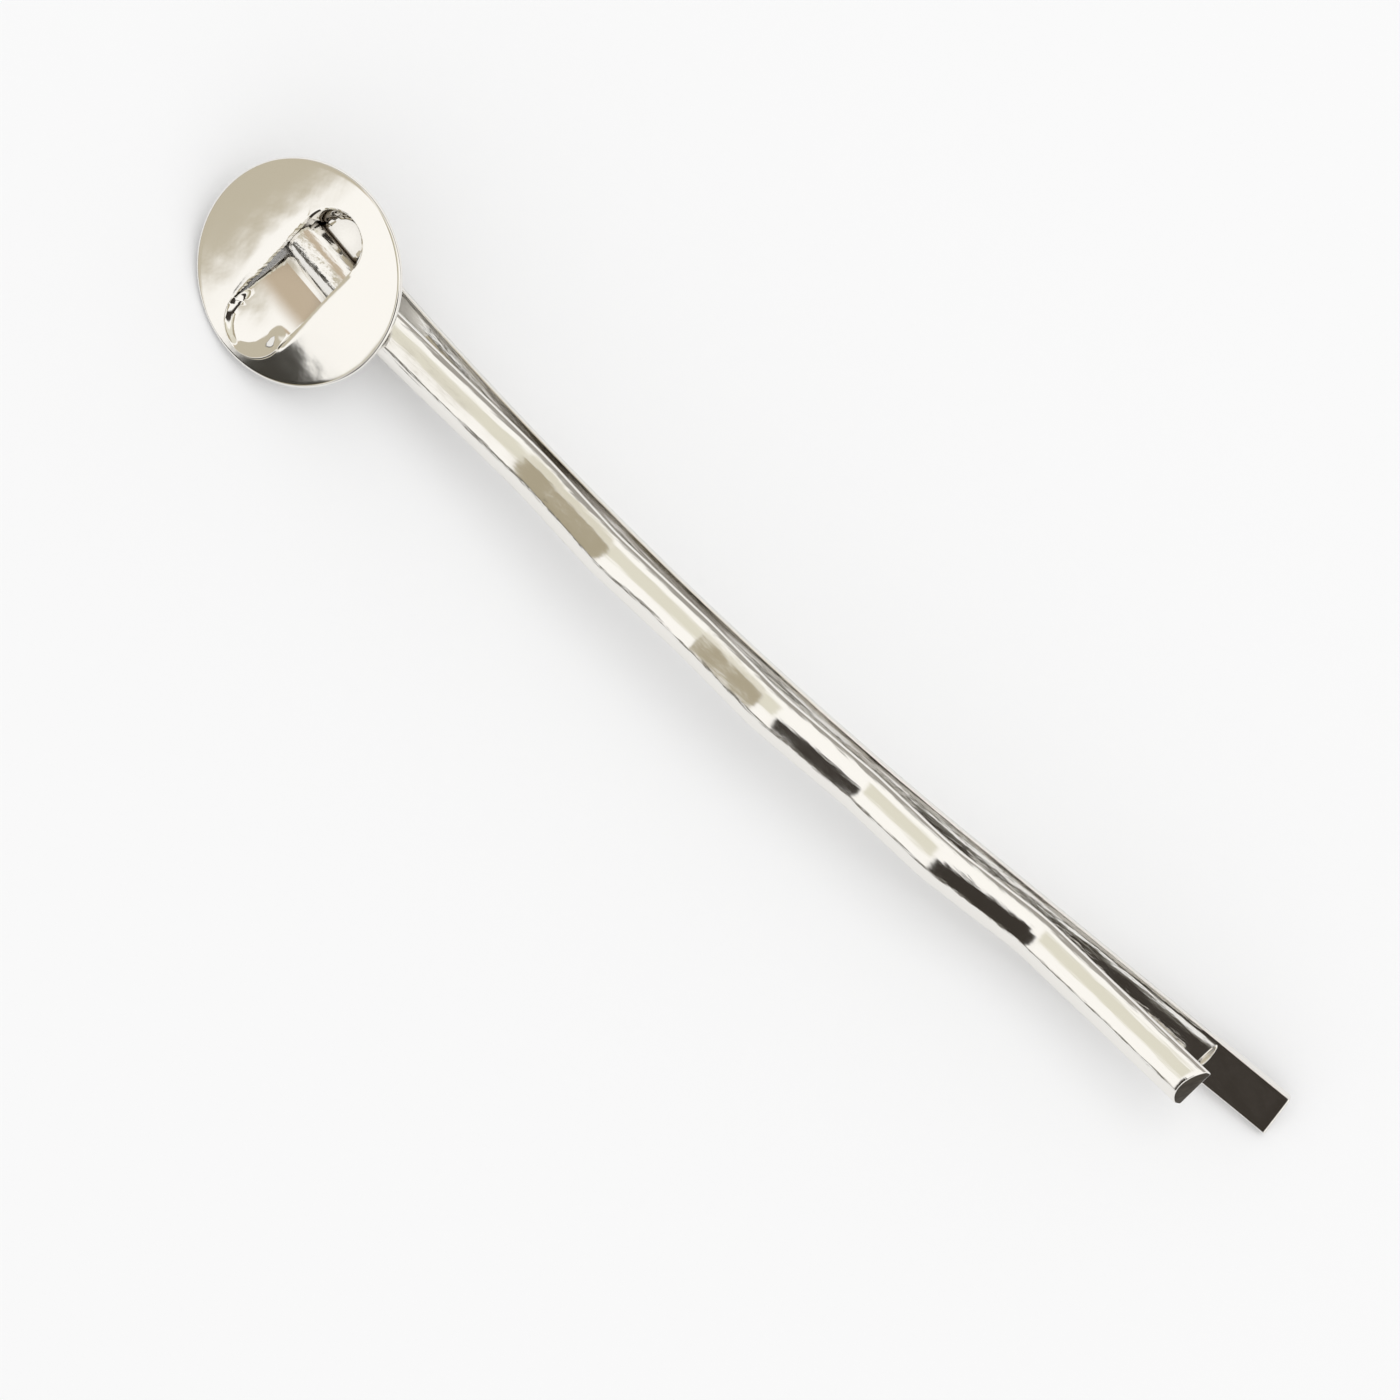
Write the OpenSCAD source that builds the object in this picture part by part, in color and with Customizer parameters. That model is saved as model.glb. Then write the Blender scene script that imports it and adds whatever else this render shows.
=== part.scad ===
// Bobby pin with a round glue-on pad, in millimetres.
// One strip of spring wire is folded over: a plain arched leg lies below, a wavy leg above.
// A stamped round pad is threaded on the wavy leg by a strap that is lanced out of its middle.

/* [Pin] */
// Length of the pin, from the outside of the fold to the long leg's far corner
pin_length = 59; // [54:0.5:72]
// Length that the wavy leg falls short of the long leg
leg_step = 4.5; // [2:0.1:5]
// Clear gap between the legs at the fold
fold_gap = 1.8; // [1.4:0.1:2.2]
// Radius of the arch that the long leg is bent to
arch_radius = 90; // [80:5:200]
// Length of the arched stretch of the long leg, before its straight end
arch_length = 39; // [25:1:42]

/* [Wire] */
// Width of the formed wire
wire_width = 2.1; // [1.7:0.05:2.2]
// Height of the wire's half-round section, inner face to crown
wire_height = 0.8; // [0.65:0.05:0.9]
// Height of the straight side walls of the section
wire_edge = 0.25; // [0.15:0.05:0.35]
// Depth of the shallow groove along the inner face
groove_depth = 0.15; // [0.1:0.05:0.2]
// Width of the flat lip on each side of the groove
groove_lip = 0.2; // [0.15:0.05:0.3]

/* [Waves] */
// Distance along the leg from the pad's middle to the first dip
first_dip = 12.9; // [12:0.05:15]
// Distance from one dip to the next
wave_pitch = 9.7; // [8:0.05:10.2]
// Place of each crest, as a share of the pitch after its dip
crest_share = 0.45; // [0.4:0.05:0.55]
// Number of crests
crests = 3; // [2:1:3]
// Gap between the legs at the first dip
dip_gap = 0.6; // [0.2:0.05:0.8]
// Growth of that gap from one dip to the next
dip_growth = 0.22; // [0:0.02:0.3]
// Rise of the first crest above its dip
crest_rise = 0.42; // [0.3:0.02:0.7]
// Growth of the rise from one crest to the next
rise_growth = 0.08; // [0:0.02:0.12]
// Gap between the legs at the wavy leg's flared end
flare_gap = 3; // [2:0.1:3.5]
// Inside radius of the bends at the dips and crests
bend_radius = 2.5; // [1.5:0.1:3.5]

/* [Ends] */
// Length of the long leg's end that is pressed flat
tip_length = 5.1; // [3:0.1:6]
// Thickness of the pressed end
tip_thick = 0.5; // [0.4:0.05:0.6]
// Slant of the long leg's cut end, off square
tip_slant = 8; // [0:1:12]
// Lean of the wavy leg's sheared end, off square
shear_angle = 40; // [20:1:50]

/* [Pad] */
// Diameter of the pad
pad_d = 10; // [9.5:0.1:12]
// Thickness of the pad's sheet
pad_thick = 0.45; // [0.35:0.05:0.6]
// Radius of the pad's rounded rim
pad_round = 0.15; // [0.05:0.05:0.15]
// Sideways distance from the leg's middle line to the pad's middle
pad_shift = 0.8; // [0:0.1:0.9]

/* [Strap] */
// Width of the opening that the strap is lanced from
slot_width = 3.05; // [2.8:0.05:3.2]
// Distance of the opening's middle from the pad's middle, towards the tips
slot_place = 0.2; // [0:0.05:0.4]
// Width of the pad's rim that is left beyond the far lobe
far_rim = 0.35; // [0.3:0.05:0.6]
// Thickness of the strap, drawn thinner than the pad
strap_thick = 0.4; // [0.3:0.05:0.45]
// Clearance along each side of the strap
slit = 0.06; // [0.04:0.01:0.1]
// Length of the steep wall at the strap's near end
near_run = 1; // [0.8:0.05:1.1]
// Length of the gentle wall at the strap's far end
far_run = 1.3; // [1:0.05:1.35]
// Depth of the far lobe where its round end begins
far_depth = 0.6; // [0.5:0.05:0.8]

/* [Hidden] */
$fn = 96;
arch_fn = 720;
curve_steps = 8;
strap_gap = 0.1;
leg_clear = 0.32;
rim_grip = 0.15;
join = 0.001;
tip_overlap = 0.2;

// The wire's section is a half-round bar with a shallow groove in its inner face.
crown_sag = wire_height - wire_edge;
crown_r = (pow(wire_width / 2, 2) + pow(crown_sag, 2)) / (2 * crown_sag);
groove_w = wire_width - 2 * groove_lip;
groove_r = (pow(groove_w / 2, 2) + pow(groove_depth, 2)) / (2 * groove_depth);
tip_blend = groove_w / 2 + groove_lip;

// The pin is drawn with the pad level: x runs from the pad's middle towards the tips,
// y from the legs' middle line, and z from the long leg's inner face at the fold.
fold_r = fold_gap / 2;
fold_out = fold_r + wire_height;
fold_x = slot_place - slot_width / 2 - strap_gap;
sheet_z = fold_gap + wire_height;

// The long leg is an arch of arch_length and then a straight end.
// Each point on it is [x, z, fall], with fall the leg's angle below level.
function on_leg(u) =
    let (fall = min(u, arch_length) / arch_radius * 180 / PI, rest = max(0, u - arch_length))
    [
        fold_x + arch_radius * sin(fall) + rest * cos(fall),
        -arch_radius * (1 - cos(fall)) - rest * sin(fall),
        fall
    ];
function above_leg(u, gap) =
    let (p = on_leg(u))
    [p[0] + gap * sin(p[2]), p[1] + gap * cos(p[2])];
arch_end = on_leg(arch_length);
arch_chord = norm([arch_end[0] - fold_x, arch_end[1]]);
long_u = arch_length + pin_length - fold_out - arch_chord;
short_u = long_u - leg_step;

// The wavy leg's inner face follows these corner points, each rounded by a bend.
function dip_u(k) = first_dip - fold_x + k * wave_pitch;
function dip(k) = above_leg(dip_u(k), dip_gap + k * dip_growth);
function crest(k) = above_leg(
    dip_u(k + crest_share),
    dip_gap + k * dip_growth + crest_rise + k * rise_growth);
lead_x = slot_place + slot_width / 2 + bend_radius / 2;
corners = [
    [fold_x, fold_gap],
    [lead_x, fold_gap],
    for (k = [0 : crests - 1]) each [dip(k), crest(k)],
    dip(crests),
    above_leg(short_u, flare_gap)
];
last = len(corners) - 1;
function step(i) = corners[i + 1] - corners[i];
function fall(i) = -atan2(step(i)[1], step(i)[0]);
function turn(i) = i < 1 || i >= last ? 0 : fall(i) - fall(i - 1);
function radius(i) = turn(i) < 0 ? bend_radius + wire_height : bend_radius;
function tangent(i) = radius(i) * tan(abs(turn(i)) / 2);
function run(i) = norm(step(i)) - tangent(i) - tangent(i + 1);

// The strap crosses under the leg at full depth and rises to the far lobe.
full_depth = pad_thick + wire_height;
slot_near = pad_shift + wire_width / 2 + leg_clear + slot_width / 2;
slot_far = pad_d / 2 - far_rim;
near_y = slot_near - slot_width / 2;
far_y = slot_width / 2 - slot_far;
foot_y = pad_shift - wire_width / 2 - leg_clear;
function ease(t) = t * t * (3 - 2 * t);

// The pin lies as it does on a table, rolled over until the pad's rim touches: it rests on
// the fold's crown, on the edge of the long leg's end and on the rim.
leg_end = on_leg(long_u);
foot = [
    leg_end[0] - tip_thick * sin(leg_end[2]) - fold_x,
    leg_end[1] - tip_thick * cos(leg_end[2]) - fold_r
];
fold_core = fold_out - crown_r;
function lay_at(roll) =
    let (drop = (wire_width / 2 * sin(roll) - crown_r) / cos(roll) - fold_core)
    asin(drop / norm(foot)) - atan2(foot[1], foot[0]);
function sheet_height(lay, level) = (sheet_z + level - fold_r) * cos(lay) - fold_x * sin(lay);
function rim_height(roll) =
    let (lay = lay_at(roll))
    (sheet_height(lay, pad_round) + fold_core) * cos(roll) + crown_r - pad_shift * sin(roll)
    - (pad_d / 2 - pad_round) * norm([sin(lay) * cos(roll), sin(roll)]) - pad_round;
function find_roll(low, high, steps) =
    let (middle = (low + high) / 2)
    steps == 0 ? middle
    : rim_height(middle) > 0 ? find_roll(middle, high, steps - 1)
    : find_roll(low, middle, steps - 1);
roll = find_roll(0, 55, 40);
lay = lay_at(roll);
function laid_x(x, z) = (x - fold_x) * cos(lay) - (z - fold_r) * sin(lay);
box_left = laid_x(-pad_d / 2, sheet_z + pad_thick);
box_right = laid_x(leg_end[0], leg_end[1]);

// Places what is drawn with the pad level into the part's own frame.
module laid_down()
    translate([
        -(box_left + box_right) / 2,
        sheet_height(lay, pad_thick / 2) * sin(roll),
        fold_core * cos(roll) + crown_r - pad_shift * sin(roll)
    ])
        rotate([roll, 0, 0])
            translate([0, pad_shift, 0])
                rotate([0, -lay, 0])
                    translate([-fold_x, 0, -fold_r])
                        children();

// Section of the wire, with its inner face on the x axis and its crown up.
module solid_section()
    intersection() {
        translate([0, wire_height - crown_r]) circle(crown_r);
        translate([-wire_width / 2, 0]) square([wire_width, wire_height]);
    }

module section()
    difference() {
        solid_section();
        translate([0, groove_depth - groove_r]) circle(groove_r);
    }

// Draws a profile out along +X, with its own x along Y and its own y along Z.
module along(length)
    rotate([90, 0, 90])
        linear_extrude(length)
            children();

// A straight stretch of wire runs a hair past both of its ends, into the bends.
module straight(length)
    translate([-join, 0, 0])
        along(length + 2 * join)
            section();

// Bends the wire down by a positive angle, or up by a negative one.
module bend(angle, r)
    if (angle > 0)
        translate([0, 0, -r]) rotate([0, -90, -90])
            rotate_extrude(angle = angle) translate([r, 0]) rotate(-90) section();
    else
        translate([0, 0, r]) rotate([0, 90, -90])
            rotate_extrude(angle = -angle) translate([r, 0]) rotate(90) section();

// Goes on from the end of such a bend.
module past_bend(angle, r)
    translate([r * sin(abs(angle)), 0, -sign(angle) * r * (1 - cos(angle))])
        rotate([0, angle, 0])
            children();

// Takes off what lies beyond the sheared end, which leans back over the wire.
module shear_off()
    rotate([0, -shear_angle, 0])
        translate([0, -wire_width, -wire_height])
            cube([2 * wire_height, 2 * wire_width, 4 * wire_height]);

// The wavy leg from corner i on: a straight run, a bend, and so on to the end.
module waves_from(i) {
    if (i < last - 1) {
        straight(run(i));
        translate([run(i), 0, 0]) {
            bend(turn(i + 1), radius(i + 1));
            past_bend(turn(i + 1), radius(i + 1)) waves_from(i + 1);
        }
    } else {
        difference() {
            straight(run(i));
            translate([run(i), 0, 0]) shear_off();
        }
    }
}

// The long leg's straight end: the groove runs out in a round scoop, the crown is pressed down
// over tip_blend, and the rest is flat with a slanted end.
module pressed_end(plain) {
    pressed_at = plain + tip_blend;
    difference() {
        along(pressed_at) solid_section();
        translate([0, 0, groove_depth - groove_r]) {
            along(plain) circle(groove_r);
            translate([plain, 0, 0]) sphere(groove_r);
        }
        translate([0, wire_width, 0])
            rotate([90, 0, 0])
                linear_extrude(2 * wire_width)
                    polygon([
                        [plain, wire_height],
                        [pressed_at, tip_thick],
                        [pressed_at + 1, tip_thick],
                        [pressed_at + 1, 2 * wire_height],
                        [plain, 2 * wire_height]
                    ]);
    }
    side = wire_width / 2;
    tip_end = plain + tip_length;
    linear_extrude(tip_thick)
        polygon([
            [pressed_at - tip_overlap, -side],
            [tip_end, -side],
            [tip_end - wire_width * tan(tip_slant), side],
            [pressed_at - tip_overlap, side]
        ]);
}

// Top line of the strap's wall, from the floor at the given depth up to the pad's face.
function wall(start, length, depth, rise) =
    [for (i = [0 : curve_steps]) [start + length * i / curve_steps, rise * ease(i / curve_steps) - depth]];
function lowered(points) = [for (i = [len(points) - 1 : -1 : 0]) points[i] - [0, strap_thick]];

// Half of a dished end of the strap, drawn out of the sheet round the slot's end.
module dished_end(depth, length) {
    rim = slot_width / 2;
    top = [[0, -depth], each wall(rim - length, length, depth, depth), [rim + rim_grip, 0]];
    rotate_extrude(angle = 180)
        polygon([each top, each lowered(top)]);
}

// The strap's crossing and its ramp up to the far lobe.
module crossing() {
    ramp = wall(0, foot_y - far_y, full_depth, full_depth - far_depth);
    line = [[near_y, -full_depth], for (p = ramp) [foot_y - p[0], p[1]]];
    translate([slit - slot_width / 2, 0, 0])
        along(slot_width - 2 * slit)
            polygon([each line, each lowered(line)]);
}

// Outline of the opening that the strap is lanced from.
module slot() {
    translate([-slot_width / 2, far_y]) square([slot_width, near_y - far_y]);
    translate([0, near_y]) circle(slot_width / 2);
    translate([0, far_y]) circle(slot_width / 2);
}

// Half section of the pad's sheet, with a rounded rim.
module sheet_profile() {
    flat_r = pad_d / 2 - pad_round;
    square([flat_r, pad_thick]);
    translate([0, pad_round]) square([pad_d / 2, pad_thick - 2 * pad_round]);
    translate([flat_r, pad_round]) circle(pad_round);
    translate([flat_r, pad_thick - pad_round]) circle(pad_round);
}

module pad()
    color("#d8d2c4")
    laid_down()
    translate([0, -pad_shift, sheet_z]) {
        difference() {
            rotate_extrude() sheet_profile();
            translate([slot_place, 0, -pad_thick]) linear_extrude(3 * pad_thick) slot();
        }
        translate([slot_place, 0, pad_thick]) {
            translate([0, near_y, 0]) dished_end(full_depth, near_run);
            translate([0, far_y, 0]) rotate(180) dished_end(far_depth, far_run);
            crossing();
        }
    }

module wavy_leg()
    color("#cfc8b8")
    laid_down()
    translate([fold_x, 0, fold_gap])
    waves_from(0);

module fold()
    color("#c4bdac")
    laid_down()
    translate([fold_x, 0, fold_gap])
    mirror([1, 0, 0])
    bend(180, fold_r);

// The arch is drawn back from the straight end's start, so that both end in the same plane.
module long_leg()
    color("#b9b2a2")
    laid_down()
    translate([fold_x, 0, 0])
    mirror([0, 0, 1])
    past_bend(-arch_end[2], arch_radius) {
        mirror([1, 0, 0]) bend(-arch_end[2], arch_radius, $fn = arch_fn);
        pressed_end(long_u - arch_length - tip_length);
    }

pad();
wavy_leg();
fold();
long_leg();
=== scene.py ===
"""Bobby pin with a round glue-on pad: the visual model, its finish, and the studio."""
import math

import bpy
import numpy as np
from mathutils import Matrix, Vector, noise


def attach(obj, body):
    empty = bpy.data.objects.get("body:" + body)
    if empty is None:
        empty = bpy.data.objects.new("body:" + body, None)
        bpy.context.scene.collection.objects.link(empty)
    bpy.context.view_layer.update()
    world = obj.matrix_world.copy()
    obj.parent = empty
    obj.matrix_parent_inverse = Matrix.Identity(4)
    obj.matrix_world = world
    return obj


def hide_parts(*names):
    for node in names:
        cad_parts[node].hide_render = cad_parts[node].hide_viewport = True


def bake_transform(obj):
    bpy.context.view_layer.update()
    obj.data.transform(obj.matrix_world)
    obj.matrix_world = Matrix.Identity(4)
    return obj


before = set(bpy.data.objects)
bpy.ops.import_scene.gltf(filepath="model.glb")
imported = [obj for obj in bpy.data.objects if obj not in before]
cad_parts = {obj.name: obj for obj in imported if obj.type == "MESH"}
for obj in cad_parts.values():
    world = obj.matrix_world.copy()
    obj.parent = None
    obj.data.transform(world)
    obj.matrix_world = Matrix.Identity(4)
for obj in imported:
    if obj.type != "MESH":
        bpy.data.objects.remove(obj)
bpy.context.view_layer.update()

# Sizes of the part, in millimetres and degrees, as in its CAD source.

PIN_LENGTH, LEG_STEP, FOLD_GAP = 59.0, 4.5, 1.8
ARCH_RADIUS, ARCH_LENGTH = 90.0, 39.0
WIRE_W, WIRE_H, WIRE_EDGE = 2.1, 0.8, 0.25
GROOVE_DEPTH, GROOVE_LIP = 0.15, 0.2
FIRST_DIP, WAVE_PITCH, CREST_SHARE, CRESTS = 12.9, 9.7, 0.45, 3
DIP_GAP, DIP_GROWTH, CREST_RISE, RISE_GROWTH = 0.6, 0.22, 0.42, 0.08
FLARE_GAP, BEND_RADIUS = 3.0, 2.5
TIP_LENGTH, TIP_THICK, TIP_SLANT, SHEAR_ANGLE = 5.1, 0.5, 8.0, 40.0
PAD_D, PAD_THICK, PAD_ROUND, PAD_SHIFT = 10.0, 0.45, 0.15, 0.8
SLOT_W, SLOT_PLACE, FAR_RIM = 3.05, 0.2, 0.35
STRAP_THICK, SLIT = 0.4, 0.06
STRAP_GAP, LEG_CLEAR = 0.1, 0.32

# Where the part lies, as its CAD source finds it.

ROLL, LAY = 32.89224, 16.53052
PLACE = Vector((-26.61126, 1.22237, 1.19779))

# The camera's place, the directions of its back and its right, and its lens, as fitted to the photo.

CAMERA_AT = Vector((-32.599, -68.854, 487.797))
CAMERA_BACK = Vector((-0.065312, -0.136788, 0.988445))
CAMERA_RIGHT = Vector((0.732012, 0.666622, 0.140620))
CAMERA_LENS, CAMERA_SENSOR = 292.04, 36

MM = 0.001

# What the visual model adds to the CAD, in millimetres: the radius of the wave's bends and of its
# first dip, how quickly the groove runs out at the tip, and the rounding of the wire's edges and ends.

SOFT_BEND, FIRST_BEND, FIRST_DIP_CORNER = 6.0, 16.0, 2
SCOOP = 0.22
INNER_ROUND, SIDE_ROUND = 0.07, 0.1
TIP_ROUND, TIP_SHRINK = 0.16, 0.08
SHEAR_RINGS = ((0.04, 0.0), (0.012, 0.01), (0.0, 0.035))
PAST_GROOVE = 9

# The pad's droop, the share of it where the rim's rounding starts, and its opening's sheared sides.

PAD_SAG, RIM_DROOP = 0.12, 0.94
EDGE_DIP, DIP_FADE = 0.015, 0.5
ROUGH_LEFT, ROUGH_RIGHT, ROUGH_FADE = 0.035, 0.015, 0.4

# The strap: depth of the lobe's far end, how early the ramp climbs, the width of the walls at its
# ends, how far the walls die out between the slits, and how far it laps under the plate. Then its
# rounded corners, how soon the slits and its free edges set in, and the slope of the lap.

LOBE_DEPTH, RAMP_EASE = 0.18, 0.55
NEAR_WALL, FAR_WALL, FAR_SKEW = 0.55, 0.35, 0.9
NEAR_WEB, FAR_WEB, STRAP_LAP = 0.3, 0.8, 0.08
STRAP_CORNER, CUT_START, FREE_START = 0.05, 0.12, 0.3
LAP_SLOPE = 0.25

# The studio: the light on dull surfaces, the lamp, the floor, and what the camera sees beyond it.

AMBIENT, KEY_ENERGY = 0.90, 0.52
KEY_SIZE, KEY_DISTANCE, KEY_TOWARDS = 0.42, 0.6, (0.03, 0.25, 0.97)
FLOOR_SIZE, FLOOR_WHITE, BACKDROP_WHITE = 1.5, 0.93, 0.92

# The plating, and the painted shade it darkens to where other metal closer than SHUT_IN millimetres
# shuts it in: a dark tint mixed into the base colour by ambient occlusion, standing in for shade.

PLATING = (0.86, 0.84, 0.80)
SHUT_IN, PAINTED_SHADE_TINT = 2.2, (0.13, 0.105, 0.08)
WIRE_PAINTED_SHADE, SHEET_PAINTED_SHADE = (0.12, 0.57), (0.12, 0.62)
WIRE_ROUGHNESS, SHEET_ROUGHNESS = 0.09, 0.06
# Near-black colours of the shear face: painted shade for the dark it lies in and mirrors, over a grain
# of bare steel.
SHEAR_PAINTED_DARK, SHEAR_PAINTED_PALE = (0.014, 0.011, 0.008), (0.10, 0.085, 0.065)
WIRE_RELIEFS = (
    ((200, 650, 650), 2.0, 0.080),
    ((400, 4500, 4500), 3.0, 0.016),
)
SHEET_RELIEFS = (
    ((300, 300, 300), 2.0, 0.020),
    ((1500, 1500, 1500), 2.0, 0.0012),
)

CROWN_SAG = WIRE_H - WIRE_EDGE
CROWN_R = ((WIRE_W / 2) ** 2 + CROWN_SAG ** 2) / (2 * CROWN_SAG)
GROOVE_W = WIRE_W - 2 * GROOVE_LIP
GROOVE_R = ((GROOVE_W / 2) ** 2 + GROOVE_DEPTH ** 2) / (2 * GROOVE_DEPTH)
TIP_BLEND = GROOVE_W / 2 + GROOVE_LIP
FOLD_R = FOLD_GAP / 2
FOLD_OUT = FOLD_R + WIRE_H
FOLD_X = SLOT_PLACE - SLOT_W / 2 - STRAP_GAP
SHEET_Z = FOLD_GAP + WIRE_H
FULL_DEPTH = PAD_THICK + WIRE_H
SLOT_NEAR = PAD_SHIFT + WIRE_W / 2 + LEG_CLEAR + SLOT_W / 2
NEAR_Y = SLOT_NEAR - SLOT_W / 2
FAR_Y = SLOT_W / 2 - (PAD_D / 2 - FAR_RIM)
FOOT_Y = PAD_SHIFT - WIRE_W / 2 - LEG_CLEAR

TO_PART = (
    Matrix.Translation(PLACE)
    @ Matrix.Rotation(math.radians(ROLL), 4, "X")
    @ Matrix.Translation((0, PAD_SHIFT, 0))
    @ Matrix.Rotation(math.radians(-LAY), 4, "Y")
    @ Matrix.Translation((-FOLD_X, 0, -FOLD_R))
)


def laid_down(points):
    """Points drawn with the pad level, in millimetres, placed in the part's frame, in metres."""
    turn = np.array(TO_PART.to_3x3())
    return (points @ turn.T + np.array(TO_PART.translation)) * MM


# Meshes

def mesh_object(name, points, faces, body, material, sharp=38.0):
    """A shaded mesh object that rides on a body and takes its finish from a slot."""
    data = bpy.data.meshes.new(name)
    data.from_pydata([tuple(p) for p in points], [], faces)
    data.validate()
    data.shade_smooth()
    data.set_sharp_from_angle(angle=math.radians(sharp))
    data.materials.append(material)
    obj = bpy.data.objects.new(name, data)
    bpy.context.scene.collection.objects.link(obj)
    if body:
        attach(obj, body)
    return obj


def skin(rings):
    """Points and faces of a closed tube through rings of the same number of points."""
    count, around = len(rings), len(rings[0])
    points = np.concatenate(rings)
    faces = []
    for i in range(count - 1):
        for j in range(around):
            k = (j + 1) % around
            faces.append((i * around + j, i * around + k, (i + 1) * around + k, (i + 1) * around + j))
    last = (count - 1) * around
    faces.append(tuple(range(around - 1, -1, -1)))
    faces.append(tuple(range(last, last + around)))
    return points, faces


# The wire

def crown(y):
    """Height of the half-round crown above the inner face."""
    return WIRE_H - CROWN_R + math.sqrt(max(CROWN_R ** 2 - y * y, 0.0))


def groove(y, past):
    """Height of the groove's floor, at a distance past the place where it starts to run out."""
    scooped = max(0.0, past - (GROOVE_W / 2 - SCOOP)) / SCOOP * GROOVE_W / 2
    inside = GROOVE_R ** 2 - y * y - scooped ** 2
    return max(0.0, GROOVE_DEPTH - GROOVE_R + math.sqrt(inside)) if inside > 0 else 0.0


def smooth(t):
    """0 to 1 with a level start and end."""
    t = min(max(t, 0.0), 1.0)
    return t * t * (3 - 2 * t)


def wire_ring(past=0.0, pressed=0.0, shrink=0.0):
    """The section as (across, height) points: half-round, or pressed flat as pressed goes to 1."""
    half = WIRE_W / 2
    points = []
    flat_half = half - INNER_ROUND
    for i in range(21):
        y = -flat_half + 2 * flat_half * i / 20
        points.append((y, groove(y, past)))
    for i in range(1, 5):
        a = math.radians(90 * i / 4)
        points.append((flat_half + INNER_ROUND * math.sin(a), INNER_ROUND * (1 - math.cos(a))))
    for i in range(31):
        a = math.pi * i / 30
        y = half * math.cos(a)
        over = max(0.0, abs(y) - (half - SIDE_ROUND))
        flat = TIP_THICK - SIDE_ROUND + math.sqrt(max(SIDE_ROUND ** 2 - over ** 2, 0.0))
        round_top = min(crown(y), WIRE_H)
        points.append((y, round_top + (flat - round_top) * pressed))
    for i in range(3, 0, -1):
        a = math.radians(90 * i / 4)
        points.append((-flat_half - INNER_ROUND * math.sin(a), INNER_ROUND * (1 - math.cos(a))))
    points = np.array(points)
    if shrink:
        middle = np.array([0.0, (TIP_THICK if pressed > 0.5 else WIRE_H) / 2])
        size = np.array([half, middle[1]])
        points = middle + (points - middle) * (1 - shrink / size)
    return points


class Path:
    """A line of the wire's inner face in the plane of the pin, walked step by step."""

    def __init__(self, x, z, fall, out):
        self.x, self.z, self.fall, self.out = x, z, fall, out
        self.stations = []
        self.length = 0.0

    def mark(self):
        """Note the place reached as a station."""
        self.stations.append((self.x, self.z, self.fall, self.length))

    def straight(self, length, pitch=0.5):
        steps = max(1, int(math.ceil(length / pitch)))
        for _ in range(steps):
            self.x += length / steps * math.cos(self.fall)
            self.z -= length / steps * math.sin(self.fall)
            self.length += length / steps
            self.mark()

    def bend(self, angle, radius, steps):
        side = math.copysign(1.0, angle)
        for _ in range(steps):
            middle = self.fall + angle / steps / 2
            chord = 2 * radius * math.sin(abs(angle) / steps / 2)
            self.x += chord * math.cos(middle)
            self.z -= chord * math.sin(middle)
            self.fall += side * abs(angle) / steps
            self.length += chord
            self.mark()

    def ring(self, station, section, lean=0.0, slant=0.0):
        """The section set square to the path, leaning back with its height, or slanting across."""
        x, z, fall, _ = station
        along = np.array([math.cos(fall), 0.0, -math.sin(fall)])
        up = np.array([math.sin(fall), 0.0, math.cos(fall)]) * self.out
        base = np.array([x, 0.0, z])
        rows = []
        for y, h in section:
            back = h * lean + (y + WIRE_W / 2) * slant
            rows.append(base + np.array([0.0, y, 0.0]) + up * h - along * back)
        return np.array(rows)


def on_leg(u):
    """Place and fall of the long leg's inner face, at a distance u along it."""
    bend = min(u, ARCH_LENGTH) / ARCH_RADIUS
    rest = max(0.0, u - ARCH_LENGTH)
    return (
        FOLD_X + ARCH_RADIUS * math.sin(bend) + rest * math.cos(bend),
        -ARCH_RADIUS * (1 - math.cos(bend)) - rest * math.sin(bend),
        bend,
    )


def above_leg(u, gap):
    """The place square above the long leg by a gap."""
    x, z, fall = on_leg(u)
    return x + gap * math.sin(fall), z + gap * math.cos(fall)


ARCH_END = on_leg(ARCH_LENGTH)
LONG_U = ARCH_LENGTH + PIN_LENGTH - FOLD_OUT - math.hypot(ARCH_END[0] - FOLD_X, ARCH_END[1])
SHORT_U = LONG_U - LEG_STEP


def wave_corners():
    """The sharp corners of the wavy leg's inner face, from the fold to the sheared end."""
    corners = [(FOLD_X, FOLD_GAP), (SLOT_PLACE + SLOT_W / 2 + BEND_RADIUS / 2, FOLD_GAP)]
    for k in range(CRESTS):
        start = FIRST_DIP - FOLD_X + k * WAVE_PITCH
        gap = DIP_GAP + k * DIP_GROWTH
        corners.append(above_leg(start, gap))
        rise = CREST_RISE + k * RISE_GROWTH
        corners.append(above_leg(start + CREST_SHARE * WAVE_PITCH, gap + rise))
    corners.append(above_leg(FIRST_DIP - FOLD_X + CRESTS * WAVE_PITCH, DIP_GAP + CRESTS * DIP_GROWTH))
    corners.append(above_leg(SHORT_U, FLARE_GAP))
    return corners


def wavy_path():
    """The wavy leg's line, with its corners rounded."""
    corners = wave_corners()
    last = len(corners) - 1
    steps = [(b[0] - a[0], b[1] - a[1]) for a, b in zip(corners, corners[1:])]
    falls = [-math.atan2(z, x) for x, z in steps]
    turns = [0.0] + [falls[i] - falls[i - 1] for i in range(1, last)] + [0.0]
    radii = [SOFT_BEND for _ in turns]
    radii[FIRST_DIP_CORNER] = FIRST_BEND
    cuts = [r * math.tan(abs(t) / 2) for r, t in zip(radii, turns)]
    path = Path(corners[0][0], corners[0][1], 0.0, 1.0)
    path.mark()
    for i in range(last):
        path.straight(math.hypot(*steps[i]) - cuts[i] - cuts[i + 1])
        if i + 1 < last:
            path.bend(turns[i + 1], radii[i + 1], 12)
    return path


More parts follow.
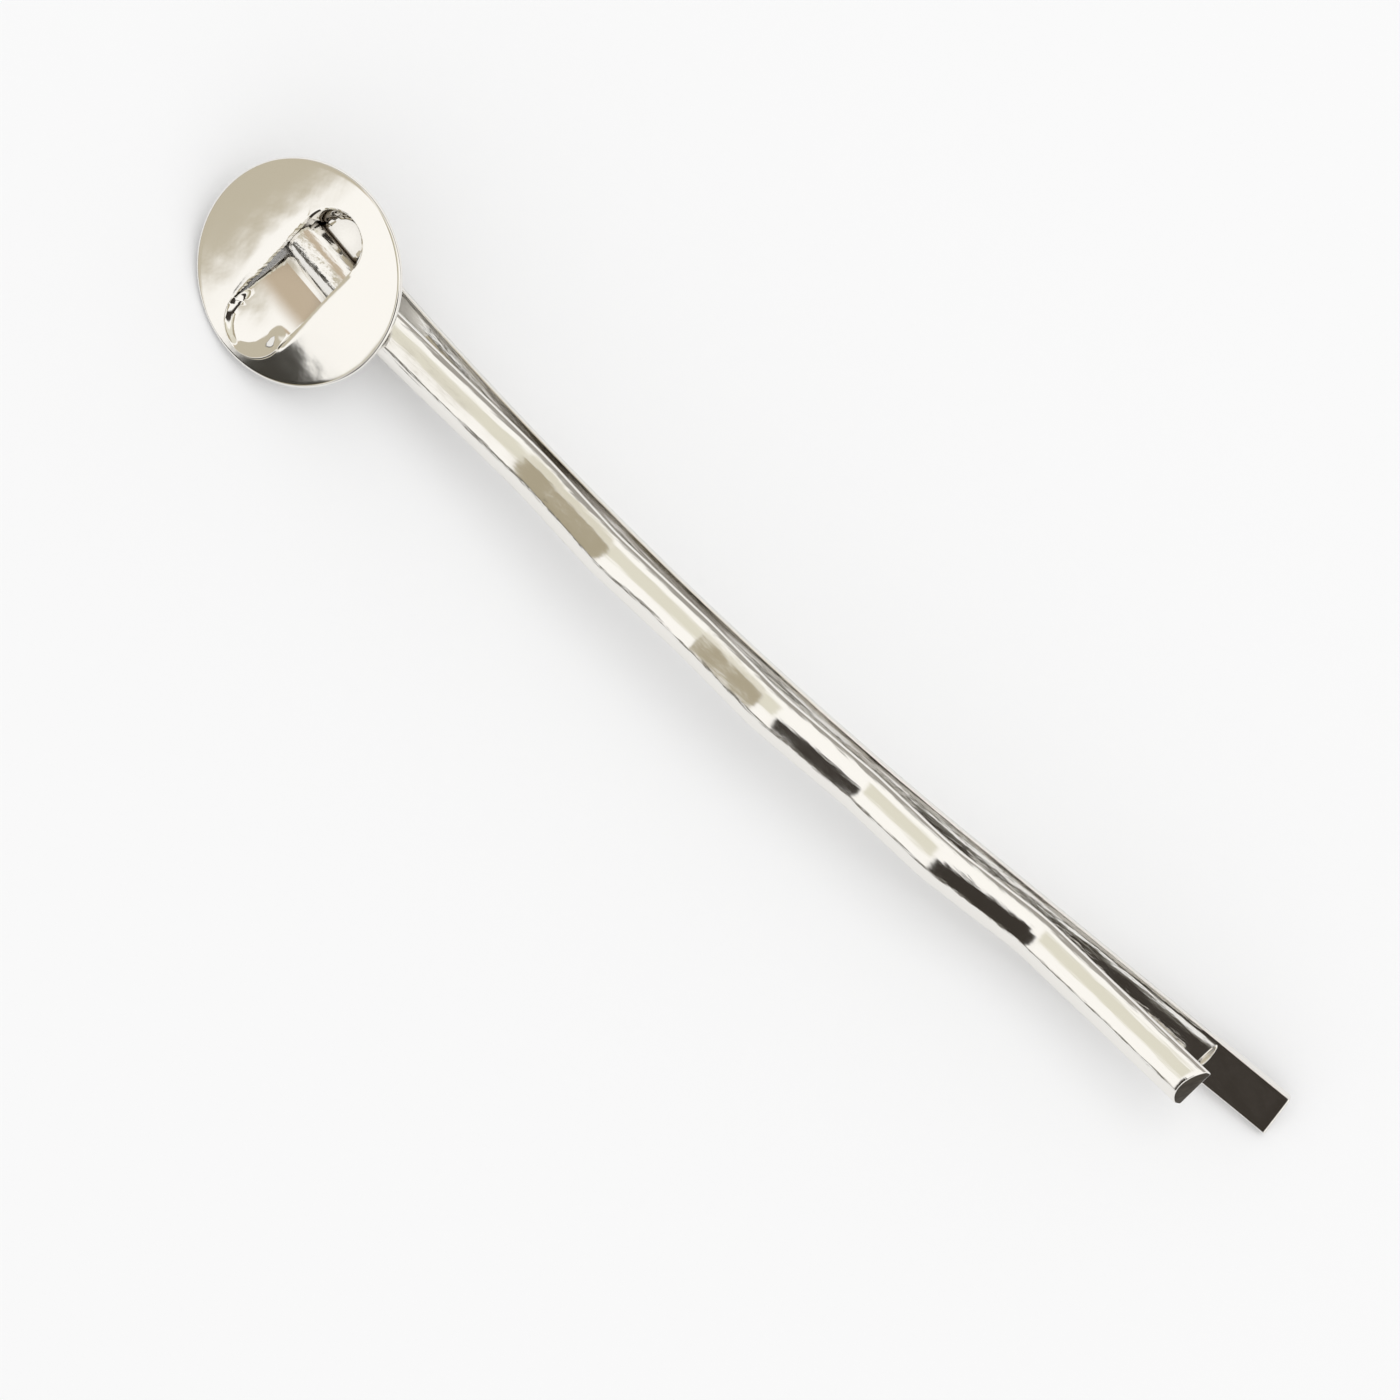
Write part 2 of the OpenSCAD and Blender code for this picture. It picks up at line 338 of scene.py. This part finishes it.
def make_wavy_leg(material):
    """The wavy leg, whose last face is the bare shear."""
    path = wavy_path()
    section = wire_ring()
    lean = math.tan(math.radians(SHEAR_ANGLE))
    leaning = 4
    rings = [path.ring(s, section) for s in path.stations[:-leaning]]
    for i, station in enumerate(path.stations[-leaning:-1]):
        rings.append(path.ring(station, section, lean * (i + 1) / leaning))
    x, z, fall, length = path.stations[-1]
    for back, small in SHEAR_RINGS:
        place = (x - back * math.cos(fall), z + back * math.sin(fall), fall, length)
        rings.append(path.ring(place, wire_ring(PAST_GROOVE, shrink=small), lean))
    points, faces = skin(rings)
    obj = mesh_object("wavy_leg_wire", laid_down(points), faces, "pad_and_wavy_leg", material)
    # The sheared end face takes a near-black finish, which is painted shade.
    obj.data.materials.append(sheared_face_painted_shade())
    obj.data.polygons[len(faces) - 1].material_index = 1
    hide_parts("wavy_leg")


def make_long_leg(material):
    """The arched leg, whose tip is pressed flat and cut off on a slant."""
    path = Path(FOLD_X, 0.0, 0.0, -1.0)
    path.mark()
    path.bend(ARCH_LENGTH / ARCH_RADIUS, ARCH_RADIUS, 90)
    plain = LONG_U - ARCH_LENGTH - TIP_LENGTH
    section = wire_ring()
    rings = [path.ring(s, section) for s in path.stations]
    x, z, fall, _ = path.stations[-1]

    def at(distance):
        return (x + distance * math.cos(fall), z - distance * math.sin(fall), fall, distance)

    for i in range(1, 20):
        rings.append(path.ring(at(plain * i / 20), section))
    for i in range(25):
        past = TIP_BLEND * i / 24
        rings.append(path.ring(at(plain + past), wire_ring(past, smooth(past / TIP_BLEND))))
    whole = plain + TIP_LENGTH
    slant = math.tan(math.radians(TIP_SLANT))
    pressed = wire_ring(PAST_GROOVE, 1)
    for i in range(1, 9):
        further = (TIP_LENGTH - TIP_BLEND - TIP_ROUND) * i / 8
        rings.append(path.ring(at(plain + TIP_BLEND + further), pressed, slant=slant * i / 8))
    for i in range(1, 6):
        a = math.radians(90 * i / 5)
        end = at(whole - TIP_ROUND + TIP_ROUND * math.sin(a))
        small = TIP_SHRINK * (1 - math.cos(a))
        rings.append(path.ring(end, wire_ring(PAST_GROOVE, 1, small), slant=slant))
    points, faces = skin(rings[::-1])
    obj = mesh_object("long_leg_wire", laid_down(points), faces, "long_leg", material)
    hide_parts("long_leg")


def make_fold(material):
    """The bend, one smooth stretch of wire, attached to neither body."""
    section = wire_ring()
    rings = []
    for i in range(49):
        a = math.pi * i / 48
        up = np.array([-math.sin(a), 0.0, math.cos(a)])
        base = np.array([FOLD_X, 0.0, FOLD_R]) + up * FOLD_R
        rings.append(np.array([base + np.array([0.0, y, 0.0]) + up * h for y, h in section]))
    points, faces = skin(rings[::-1])
    obj = mesh_object("fold_wire", laid_down(points), faces, None, material)
    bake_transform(obj)
    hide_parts("fold")


# The pad

def slot_outline(roughness, count=520):
    """Points round the opening, starting on its -x side; its long sides are sheared and rough."""
    half, radius = (NEAR_Y - FAR_Y) / 2, SLOT_W / 2
    middle = (NEAR_Y + FAR_Y) / 2
    straight, arc = 2 * half, math.pi * radius
    whole = 2 * (straight + arc)
    points = []
    for i in range(count):
        d = whole * i / count
        if d < straight:
            x, y = -radius, middle + half - d
        elif d < straight + arc:
            a = (d - straight) / radius
            x, y = -radius * math.cos(a), middle - half - radius * math.sin(a)
        elif d < 2 * straight + arc:
            x, y = radius, middle - half + (d - straight - arc)
        else:
            a = (d - 2 * straight - arc) / radius
            x, y = radius * math.cos(a), middle + half + radius * math.sin(a)
        side = min(1.0, max(0.0, (half - abs(y - middle)) / ROUGH_FADE))
        rough = roughness * (ROUGH_LEFT if x < 0 else ROUGH_RIGHT)
        broad = noise.noise((x * 3, y * 4.5, 1.7))
        fine = 0.6 * noise.noise((x, y * 13, 5.1))
        shift = side * rough * (broad + fine)
        points.append((SLOT_PLACE + x + shift, y))
    return np.array(points)


def pad_plate():
    """The flat ring of the pad, from the opening's edge out over the rim and back below."""
    inner = slot_outline(1.0)
    even = slot_outline(0.0)
    centre = np.array([SLOT_PLACE, (NEAR_Y + FAR_Y) / 2])
    ray = inner - centre
    ray /= np.linalg.norm(ray, axis=1)[:, None]
    along = ray @ centre
    reach = -along + np.sqrt(along ** 2 + (PAD_D / 2) ** 2 - centre @ centre)
    outer = centre + ray * reach[:, None]
    outer_dir = outer / (PAD_D / 2)
    flat = outer_dir * (PAD_D / 2 - PAD_ROUND)
    columns = []

    def add(xy, z):
        columns.append(np.column_stack([xy, np.zeros(len(xy)) + z]))

    def ring(t):
        return even + (flat - even) * t

    def sag(xy):
        return -PAD_SAG * (np.linalg.norm(xy, axis=1) / (PAD_D / 2)) ** 2

    middle = (NEAR_Y + FAR_Y) / 2
    half = (NEAR_Y - FAR_Y) / 2
    side = np.clip((half - np.abs(inner[:, 1] - middle)) / DIP_FADE, 0, 1)
    sheared = EDGE_DIP * side
    add(inner, -PAD_THICK * 0.5)
    add(inner, sag(inner) - sheared - 0.002)
    for t in (0.02, 0.05, 0.09, 0.14, 0.2):
        add(ring(t), sag(ring(t)) - sheared * (1 - t / 0.2) ** 2)
    for t in np.linspace(0.26, 1.0, 14):
        add(ring(t), sag(ring(t)))
    for i in range(1, 9):
        a = math.radians(90 * i / 8)
        add(
            outer_dir * (PAD_D / 2 - PAD_ROUND + PAD_ROUND * math.sin(a)),
            -PAD_SAG * RIM_DROOP - PAD_ROUND * (1 - math.cos(a)))
    for i in range(9):
        a = math.radians(90 * i / 8)
        add(
            outer_dir * (PAD_D / 2 - PAD_ROUND + PAD_ROUND * math.cos(a)),
            -PAD_THICK + PAD_ROUND * (1 - math.sin(a)))
    for t in (0.6, 0.2, 0.04):
        add(ring(t), -PAD_THICK)
    add(inner, -PAD_THICK + 0.03)
    rows = [np.array([c[i] for c in columns]) for i in range(len(inner))]
    around = len(columns)
    points = np.concatenate(rows)
    faces = []
    count = len(rows)
    for i in range(count):
        n = (i + 1) % count
        for j in range(around):
            k = (j + 1) % around
            faces.append((i * around + j, i * around + k, n * around + k, n * around + j))
    return points, faces


def strap_depth(y):
    """Depth of the strap's floor: level under the leg, then steep at first up to the lobe."""
    far_tip = FAR_Y - SLOT_W / 2
    rise = min(max((FOOT_Y - y) / (FOOT_Y - far_tip), 0.0), 1.0)
    return FULL_DEPTH + (LOBE_DEPTH - FULL_DEPTH) * smooth(rise ** RAMP_EASE)


def strap_top(x, y):
    """Height of the strap's upper face, which is walled in at its round ends and free between them."""
    rim = SLOT_W / 2
    near = y > FOOT_Y
    edge = rim - math.hypot(x, max(y - NEAR_Y, FAR_Y - y, 0.0))
    run = NEAR_WALL if near else FAR_WALL + FAR_SKEW * max(0.0, x / rim)
    between = min(NEAR_Y - y, y - FAR_Y)
    free = smooth(between / (NEAR_WEB if near else FAR_WEB))
    walled = smooth(edge / run)
    share = walled + (1 - walled) * free
    droop = PAD_SAG * ((x + SLOT_PLACE) ** 2 + y * y) / (PAD_D / 2) ** 2
    return -strap_depth(y) * share + min(edge, 0.0) * LAP_SLOPE - droop


def lanced_strap():
    """One sheet from the steep dish, under the leg, and up over the ramp to the long lobe."""
    rim = SLOT_W / 2
    lap = rim + STRAP_LAP
    turns = [math.radians(4 + 86 * i / 24) for i in range(25)]
    stations = [(NEAR_Y + lap * math.cos(a), lap * math.sin(a)) for a in turns]
    between = [NEAR_Y - NEAR_WEB * (i + 1) / 10 for i in range(10)]
    between += [between[-1] + (FOOT_Y - between[-1]) * (i + 1) / 6 for i in range(6)]
    between += [FOOT_Y + (FAR_Y - FOOT_Y) * (i + 1) / 48 for i in range(47)]
    for y in between:
        cut = smooth(min(NEAR_Y - y, y - FAR_Y) / CUT_START)
        stations.append((y, lap - (STRAP_LAP + SLIT) * cut))
    stations += [(FAR_Y - lap * math.cos(a), lap * math.sin(a)) for a in reversed(turns)]
    rings = []
    for y, half in stations:
        free = smooth(min(NEAR_Y - y, y - FAR_Y) / FREE_START)
        broad = 0.02 * noise.noise((y * 3.0, 2.2, 0.3))
        fine = 0.012 * noise.noise((y * 11.0, 7.1, 0.3))
        shift = broad + fine
        corner = min(STRAP_CORNER, half * 0.2)
        ins = [corner * (1 - math.cos(math.radians(30 * i))) for i in range(4)]
        drops = [corner * (1 - math.sin(math.radians(30 * i))) * free for i in range(4)]
        inner = half - corner
        across = [half - d for d in ins] + [inner * (1 - i / 12) for i in range(1, 24)]
        across += [-half + d for d in reversed(ins)]
        falls = drops + [0.0] * 23 + drops[::-1]
        top = [(x, strap_top(x, y)) for x in across]
        row = [(SLOT_PLACE + x + shift * free, y, z - fall) for (x, z), fall in zip(top, falls)]
        row += [
            (SLOT_PLACE + x + shift * free, y, z + fall - STRAP_THICK)
            for (x, z), fall in zip(top[::-1], falls[::-1])]
        rings.append(np.array(row))
    return skin(rings)


def make_pad(material):
    """The plate and its strap. The plate stands for the CAD node, and the strap rides along."""
    shift = np.array([0.0, -PAD_SHIFT, SHEET_Z + PAD_THICK])
    for name, (points, faces) in (("pad_plate", pad_plate()), ("pad_strap", lanced_strap())):
        mesh_object(
            name, laid_down(points + shift), faces, "pad_and_wavy_leg", material, 30.0)
    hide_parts("pad")


# Finish

def node(tree, kind, **values):
    """A new node with its properties set."""
    made = tree.nodes.new(kind)
    for key, value in values.items():
        setattr(made, key, value)
    return made


def mix_colour(tree, factor, low, high):
    """A colour between low and high; each is a colour or a socket."""
    mix = node(tree, "ShaderNodeMix", data_type="RGBA")
    tree.links.new(factor, mix.inputs["Factor"])
    for name, given in (("A", low), ("B", high)):
        if isinstance(given, tuple):
            mix.inputs[name].default_value = (*given, 1.0)
        else:
            tree.links.new(given, mix.inputs[name])
    return mix.outputs["Result"]


def noise_height(tree, place, scale, detail, seed):
    """A noise value over the object's own coordinates, stretched by scale, in cycles a metre."""
    stretch = node(tree, "ShaderNodeMapping")
    stretch.inputs["Scale"].default_value = scale
    stretch.inputs["Location"].default_value = (seed, seed * 0.37, 0.0)
    tree.links.new(place, stretch.inputs["Vector"])
    texture = node(tree, "ShaderNodeTexNoise")
    texture.inputs["Scale"].default_value = 1.0
    texture.inputs["Detail"].default_value = detail
    tree.links.new(stretch.outputs["Vector"], texture.inputs["Vector"])
    return texture.outputs["Fac"]


def plated_metal(name, roughness, seed, reliefs, shut):
    """Bright plating with painted shade, darkened in its base colour where it is closely shut in, with
    its reliefs one over another.

    Each relief is (scale along x, y and z, detail, height in millimetres)."""
    material = bpy.data.materials.new(name)
    material.use_nodes = True
    tree = material.node_tree
    shader = tree.nodes["Principled BSDF"]
    shader.inputs["Metallic"].default_value = 1.0
    place = node(tree, "ShaderNodeTexCoord").outputs["Object"]
    normal = None
    for scale, detail, height in reliefs:
        bump = node(tree, "ShaderNodeBump")
        bump.inputs["Strength"].default_value = 1.0
        bump.inputs["Distance"].default_value = height * MM
        tree.links.new(noise_height(tree, place, scale, detail, seed), bump.inputs["Height"])
        if normal is not None:
            tree.links.new(normal, bump.inputs["Normal"])
        normal = bump.outputs["Normal"]
    tree.links.new(normal, shader.inputs["Normal"])
    # Painted shade: ambient occlusion darkens the base colour towards the shade tint in crevices and
    # between parts.
    openness = node(tree, "ShaderNodeAmbientOcclusion", samples=8)
    openness.inputs["Distance"].default_value = SHUT_IN * MM
    level = node(tree, "ShaderNodeMapRange", interpolation_type="SMOOTHSTEP")
    level.inputs["From Min"].default_value = shut[0]
    level.inputs["From Max"].default_value = shut[1]
    tree.links.new(openness.outputs["AO"], level.inputs["Value"])
    colour = mix_colour(tree, level.outputs["Result"], PAINTED_SHADE_TINT, PLATING)
    tree.links.new(colour, shader.inputs["Base Color"])
    shader.inputs["Roughness"].default_value = roughness
    return material


def sheared_face_painted_shade():
    """The face that the shears leave: bare steel with a grain, its near-black colour painted shade."""
    material = bpy.data.materials.new("sheared_steel_painted_shade")
    material.use_nodes = True
    tree = material.node_tree
    shader = tree.nodes["Principled BSDF"]
    shader.inputs["Metallic"].default_value = 0.6
    shader.inputs["Roughness"].default_value = 0.5
    shader.inputs["Specular IOR Level"].default_value = 0.2
    place = node(tree, "ShaderNodeTexCoord").outputs["Object"]
    grain = noise_height(tree, place, (2500, 2500, 9000), 4.0, 5.0)
    colour = mix_colour(tree, grain, SHEAR_PAINTED_DARK, SHEAR_PAINTED_PALE)
    tree.links.new(colour, shader.inputs["Base Color"])
    return material


def floor_material():
    """A dull pale floor with no gloss."""
    material = bpy.data.materials.new("studio_floor")
    material.use_nodes = True
    shader = material.node_tree.nodes["Principled BSDF"]
    shader.inputs["Base Color"].default_value = (FLOOR_WHITE, FLOOR_WHITE, FLOOR_WHITE, 1.0)
    shader.inputs["Roughness"].default_value = 0.9
    shader.inputs["Specular IOR Level"].default_value = 0.0
    return material


# The studio

def make_floor():
    data = bpy.data.meshes.new("floor")
    size = FLOOR_SIZE
    corners = [(-size, -size, 0), (size, -size, 0), (size, size, 0), (-size, size, 0)]
    data.from_pydata(corners, [], [(0, 1, 2, 3)])
    data.materials.append(floor_material())
    obj = bpy.data.objects.new("floor", data)
    bpy.context.scene.collection.objects.link(obj)


# What the polished metal sees round it, as (lowest and highest angle along the pin, lowest and
# highest angle across it, softness along, softness across, colour), in degrees from the line
# that stands square on the level pad. Later ones lie over earlier ones.

ROOM_WHITE = (1.12, 1.11, 1.09)
ROOM = (
    (-6, 9, -2, 48, 2, 8, (0.84, 0.82, 0.71)),
    (-21.5, -6, -90, 34, 1.5, 8, (0.46, 0.41, 0.30)),
    (-21.5, -6, 34, 62, 1.5, 6, (0.80, 0.77, 0.66)),
    (12.5, 22, -90, 8, 1.5, 4, (0.045, 0.038, 0.032)),
    (20, 42, -90, 24, 2, 5, (0.045, 0.038, 0.032)),
    (-180, -31.3, -60, 60, 0.8, 8, (0.60, 0.55, 0.44)),
    (-27.6, -19.5, -60, -30.9, 0.3, 0.3, (0.045, 0.042, 0.035)),
    (-33, -26, 13, 40, 1.0, 8, (0.60, 0.50, 0.38)),
    (-180, 180, -60, -50, 1, 2, (0.20, 0.19, 0.17)),
    (-180, 180, 70, 95, 1, 3, (0.40, 0.38, 0.35)),
)


def make_world():
    """The camera sees plain white, polished metal sees the room, and the rest is soft light."""
    world = bpy.data.worlds.new("studio")
    bpy.context.scene.world = world
    world.use_nodes = True
    tree = world.node_tree
    link = tree.links.new

    def value(first, operation, second=None):
        made = node(tree, "ShaderNodeMath", operation=operation)
        link(first, made.inputs[0])
        if isinstance(second, float):
            made.inputs[1].default_value = second
        elif second is not None:
            link(second, made.inputs[1])
        return made.outputs[0]

    def rise(angle, edge, soft, down=False):
        made = node(tree, "ShaderNodeMapRange", interpolation_type="SMOOTHSTEP")
        link(angle, made.inputs["Value"])
        made.inputs["From Min"].default_value = edge - soft
        made.inputs["From Max"].default_value = edge + soft
        made.inputs["To Min"].default_value = float(down)
        made.inputs["To Max"].default_value = float(not down)
        return made.outputs["Result"]

    def band(angle, low, high, soft):
        return value(rise(angle, low, soft), "MULTIPLY", rise(angle, high, soft, down=True))

    place = node(tree, "ShaderNodeTexCoord")
    level = node(tree, "ShaderNodeMapping", vector_type="POINT")
    level.inputs["Rotation"].default_value = (math.radians(-ROLL), 0.0, 0.0)
    link(place.outputs["Generated"], level.inputs["Vector"])
    split = node(tree, "ShaderNodeSeparateXYZ")
    link(level.outputs["Vector"], split.inputs[0])
    along = value(split.outputs[0], "ARCSINE")
    along = value(along, "MULTIPLY", 180 / math.pi)
    across = value(split.outputs[1], "ARCTAN2", split.outputs[2])
    across = value(across, "MULTIPLY", 180 / math.pi)
    colour = ROOM_WHITE
    for low, high, down, up, soft, soft_up, paint in ROOM:
        mask = value(band(along, low, high, soft), "MULTIPLY", band(across, down, up, soft_up))
        colour = mix_colour(tree, mask, colour, paint)
    rays = node(tree, "ShaderNodeLightPath")
    room = tree.nodes["Background"]
    link(colour, room.inputs["Color"])
    soft_light = node(tree, "ShaderNodeBackground")
    soft_light.inputs["Color"].default_value = (1, 1, 1, 1)
    soft_light.inputs["Strength"].default_value = AMBIENT
    plain = node(tree, "ShaderNodeBackground")
    plain.inputs["Color"].default_value = (BACKDROP_WHITE, BACKDROP_WHITE, BACKDROP_WHITE, 1)
    seen = node(tree, "ShaderNodeMixShader")
    link(rays.outputs["Is Camera Ray"], seen.inputs[0])
    link(soft_light.outputs[0], seen.inputs[1])
    link(plain.outputs[0], seen.inputs[2])
    both = node(tree, "ShaderNodeMixShader")
    polished = value(rays.outputs["Is Glossy Ray"], "MAXIMUM", rays.outputs["Is Transmission Ray"])
    link(polished, both.inputs[0])
    link(seen.outputs[0], both.inputs[1])
    link(room.outputs[0], both.inputs[2])
    link(both.outputs[0], tree.nodes["World Output"].inputs["Surface"])


def make_light():
    """One soft round lamp overhead, which the polished metal doesn't mirror."""
    data = bpy.data.lights.new("key", "AREA")
    data.shape = "DISK"
    data.size = KEY_SIZE
    data.energy = KEY_ENERGY
    obj = bpy.data.objects.new("key", data)
    bpy.context.scene.collection.objects.link(obj)
    towards = Vector(KEY_TOWARDS).normalized()
    obj.location = towards * KEY_DISTANCE
    obj.rotation_mode = "QUATERNION"
    obj.rotation_quaternion = towards.to_track_quat("Z", "Y")
    obj.visible_glossy = False


def make_camera():
    data = bpy.data.cameras.new("camera")
    data.lens = CAMERA_LENS
    data.sensor_width = CAMERA_SENSOR
    data.clip_start, data.clip_end = 0.05, 10
    obj = bpy.data.objects.new("camera", data)
    bpy.context.scene.collection.objects.link(obj)
    up = CAMERA_BACK.cross(CAMERA_RIGHT)
    turn = Matrix((CAMERA_RIGHT, up, CAMERA_BACK)).transposed()
    obj.matrix_world = Matrix.Translation(CAMERA_AT * MM) @ turn.to_4x4()
    bpy.context.scene.camera = obj


wire = plated_metal("bright_plated_wire_painted_shade", WIRE_ROUGHNESS, 3.0, WIRE_RELIEFS, WIRE_PAINTED_SHADE)
sheet = plated_metal("bright_plated_sheet_painted_shade", SHEET_ROUGHNESS, 11.0, SHEET_RELIEFS, SHEET_PAINTED_SHADE)
make_wavy_leg(wire)
make_long_leg(wire)
make_fold(wire)
make_pad(sheet)
make_floor()
make_world()
make_light()
make_camera()
bpy.context.scene.view_settings.view_transform = "Standard"
